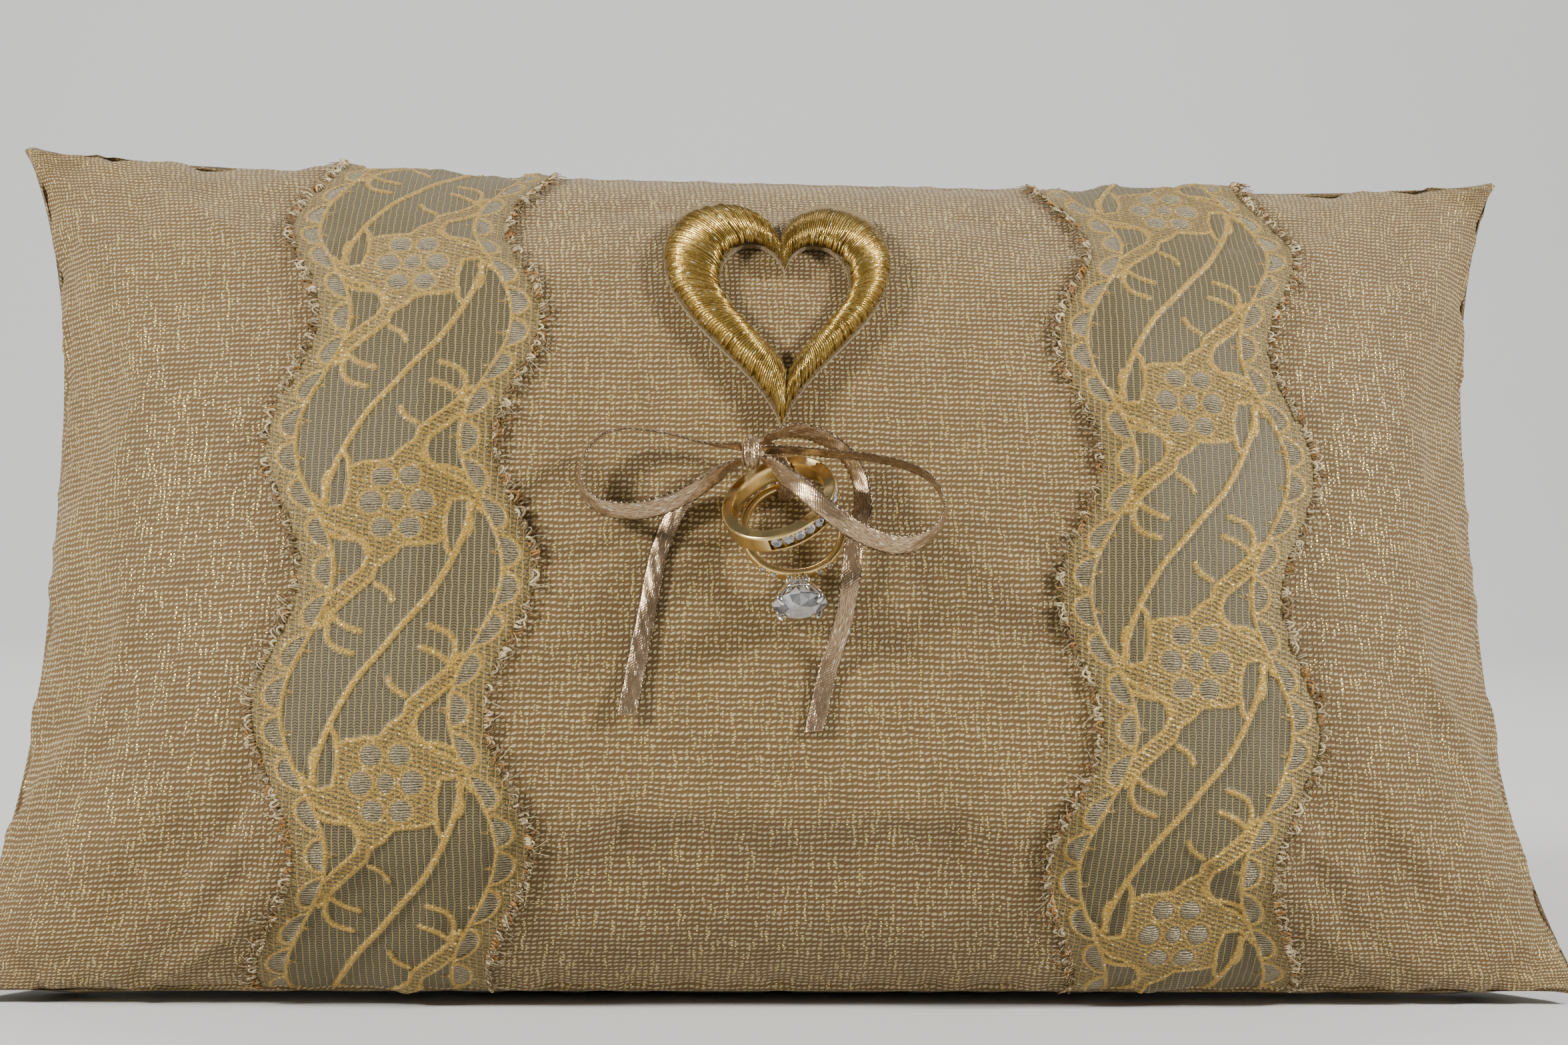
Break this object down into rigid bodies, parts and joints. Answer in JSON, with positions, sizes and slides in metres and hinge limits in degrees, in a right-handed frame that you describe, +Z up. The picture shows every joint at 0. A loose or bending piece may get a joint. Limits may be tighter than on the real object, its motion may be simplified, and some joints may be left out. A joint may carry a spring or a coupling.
{
  "type": "ring bearer pillow",
  "caption": "Stuffed cloth pillow with two lace strips, a padded heart emblem and a ribbon bow that ties a wedding band and a solitaire ring to its front.",
  "frame": {"origin": "middle of the pillow's footprint on the table, without the ribbon", "axes": "+X along the pillow's length, -Y out of its front, +Z up from the table"},
  "size_m": [0.285, 0.1008, 0.1528],
  "materials": {
    "linen_cloth": "plain weave with metallic thread",
    "fibre_filling": "loose fibre",
    "metallic_lace": "woven metallic lace",
    "felt": "felt",
    "gold_thread": "padded satin stitch",
    "metallic_ribbon": "narrow metallic ribbon",
    "yellow_gold": "polished",
    "white_gold": "polished",
    "small_stones": "cut",
    "clear_stone": "cut"
  },
  "bodies": {
    "pillow": {"cover_front_panel": "linen_cloth", "cover_back_panel": "linen_cloth", "fibre_filling": "fibre_filling", "lace_strip_left": "metallic_lace", "lace_strip_right": "metallic_lace", "emblem_felt_pad": "felt", "emblem_satin_stitch": "gold_thread", "bow_knot": "metallic_ribbon", "bow_loop_left": "metallic_ribbon", "bow_loop_right": "metallic_ribbon", "ribbon_tail_left": "metallic_ribbon", "ribbon_tail_right": "metallic_ribbon", "ring_tie_loop": "metallic_ribbon"},
    "wedding_band": {"wedding_band": "yellow_gold", "band_stone_1": "small_stones", "band_stone_2": "small_stones", "band_stone_3": "small_stones", "band_stone_4": "small_stones", "band_stone_5": "small_stones", "band_stone_6": "small_stones", "band_stone_7": "small_stones", "band_stone_8": "small_stones", "band_stone_9": "small_stones"},
    "solitaire_ring": {"solitaire_shank": "yellow_gold", "solitaire_head": "white_gold", "solitaire_stone": "clear_stone", "solitaire_side_stone_1": "small_stones", "solitaire_side_stone_2": "small_stones", "solitaire_side_stone_3": "small_stones", "solitaire_side_stone_4": "small_stones"}
  },
  "joints": [
    {"name": "band_swing", "type": "hinge", "parent": "pillow", "child": "wedding_band", "pos_m": [-0.0023, -0.0282, 0.08998], "axis": [-0.0032, -0.9473, 0.3202], "range_deg": [-12, 6]},
    {"name": "solitaire_swing", "type": "hinge", "parent": "pillow", "child": "solitaire_ring", "pos_m": [-0.0003, -0.02846, 0.08923], "axis": [-0.0032, -0.9473, 0.3202], "range_deg": [-15, 4]}
  ]
}
